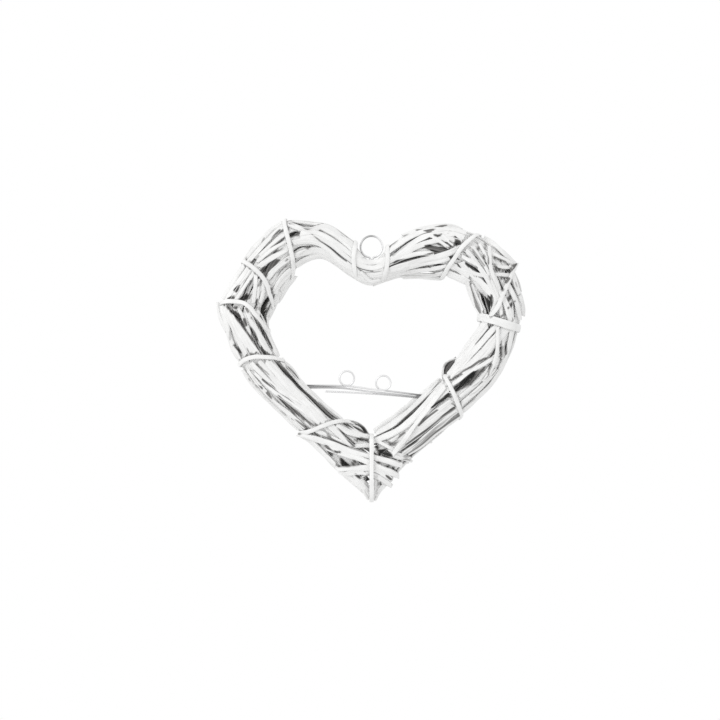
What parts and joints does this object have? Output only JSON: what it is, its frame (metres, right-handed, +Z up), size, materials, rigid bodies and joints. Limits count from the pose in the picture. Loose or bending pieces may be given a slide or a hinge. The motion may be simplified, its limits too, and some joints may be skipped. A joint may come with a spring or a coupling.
{
  "type": "wicker heart",
  "caption": "Hanging heart of white-painted split willow wound with willow bindings, with a wire ring in the cleft and a wire crossbar with small eyes.",
  "frame": {"origin": "the point inside the top of the wire ring that rests on the hook, in the middle of the heart's depth", "axes": "+Z up as the heart hangs, +X to the viewer's right, +Y from the front of the heart to its back"},
  "size_m": [0.2499, 0.0424, 0.2354],
  "materials": {
    "painted_willow": "split willow painted matt white, greyer and thinner in the paint deep between the sticks",
    "zinc_wire": "dull zinc-coated steel wire"
  },
  "bodies": {
    "root": {"cleft_front_stick": "painted_willow", "crossbar_lower_rod": "zinc_wire", "crossbar_rod": "zinc_wire", "eye_wire": "zinc_wire", "hanging_ring": "zinc_wire", "left_cleft_binding": "painted_willow", "left_inside_edge_sticks": "painted_willow", "left_lower_back_sticks": "painted_willow", "left_lower_binding": "painted_willow", "left_lower_edge_sticks": "painted_willow", "left_lower_front_sticks": "painted_willow", "left_lower_inner_sticks": "painted_willow", "left_lower_outer_sticks": "painted_willow", "left_shoulder_back_sticks": "painted_willow", "left_shoulder_binding": "painted_willow", "left_shoulder_edge_sticks": "painted_willow", "left_shoulder_front_sticks": "painted_willow", "left_shoulder_inner_sticks": "painted_willow", "left_side_binding": "painted_willow", "left_side_core_sticks": "painted_willow", "left_side_edge_sticks": "painted_willow", "left_side_front_sticks": "painted_willow", "left_side_inner_sticks": "painted_willow", "left_top_back_sticks": "painted_willow", "left_top_binding": "painted_willow", "left_top_core_sticks": "painted_willow", "left_top_edge_sticks": "painted_willow", "left_top_front_sticks": "painted_willow", "left_top_inner_sticks": "painted_willow", "left_waist_binding": "painted_willow", "right_cleft_binding": "painted_willow", "right_lower_back_sticks": "painted_willow", "right_lower_binding": "painted_willow", "right_lower_edge_sticks": "painted_willow", "right_lower_front_sticks": "painted_willow", "right_lower_inner_sticks": "painted_willow", "right_lower_middle_sticks": "painted_willow", "right_shoulder_back_sticks": "painted_willow", "right_shoulder_edge_sticks": "painted_willow", "right_shoulder_front_sticks": "painted_willow", "right_shoulder_inner_sticks": "painted_willow", "right_shoulder_middle_sticks": "painted_willow", "right_side_binding": "painted_willow", "right_side_core_sticks": "painted_willow", "right_side_edge_sticks": "painted_willow", "right_side_front_sticks": "painted_willow", "right_top_back_sticks": "painted_willow", "right_top_binding": "painted_willow", "right_top_core_sticks": "painted_willow", "right_top_edge_sticks": "painted_willow", "right_top_front_sticks": "painted_willow", "right_top_inner_sticks": "painted_willow", "right_top_middle_sticks": "painted_willow", "tip_back_stick_1": "painted_willow", "tip_back_stick_2": "painted_willow", "tip_binding": "painted_willow", "tip_front_stick_1": "painted_willow", "tip_front_stick_2": "painted_willow", "tip_front_stick_3": "painted_willow", "tip_front_stick_4": "painted_willow"}
  },
  "joints": []
}
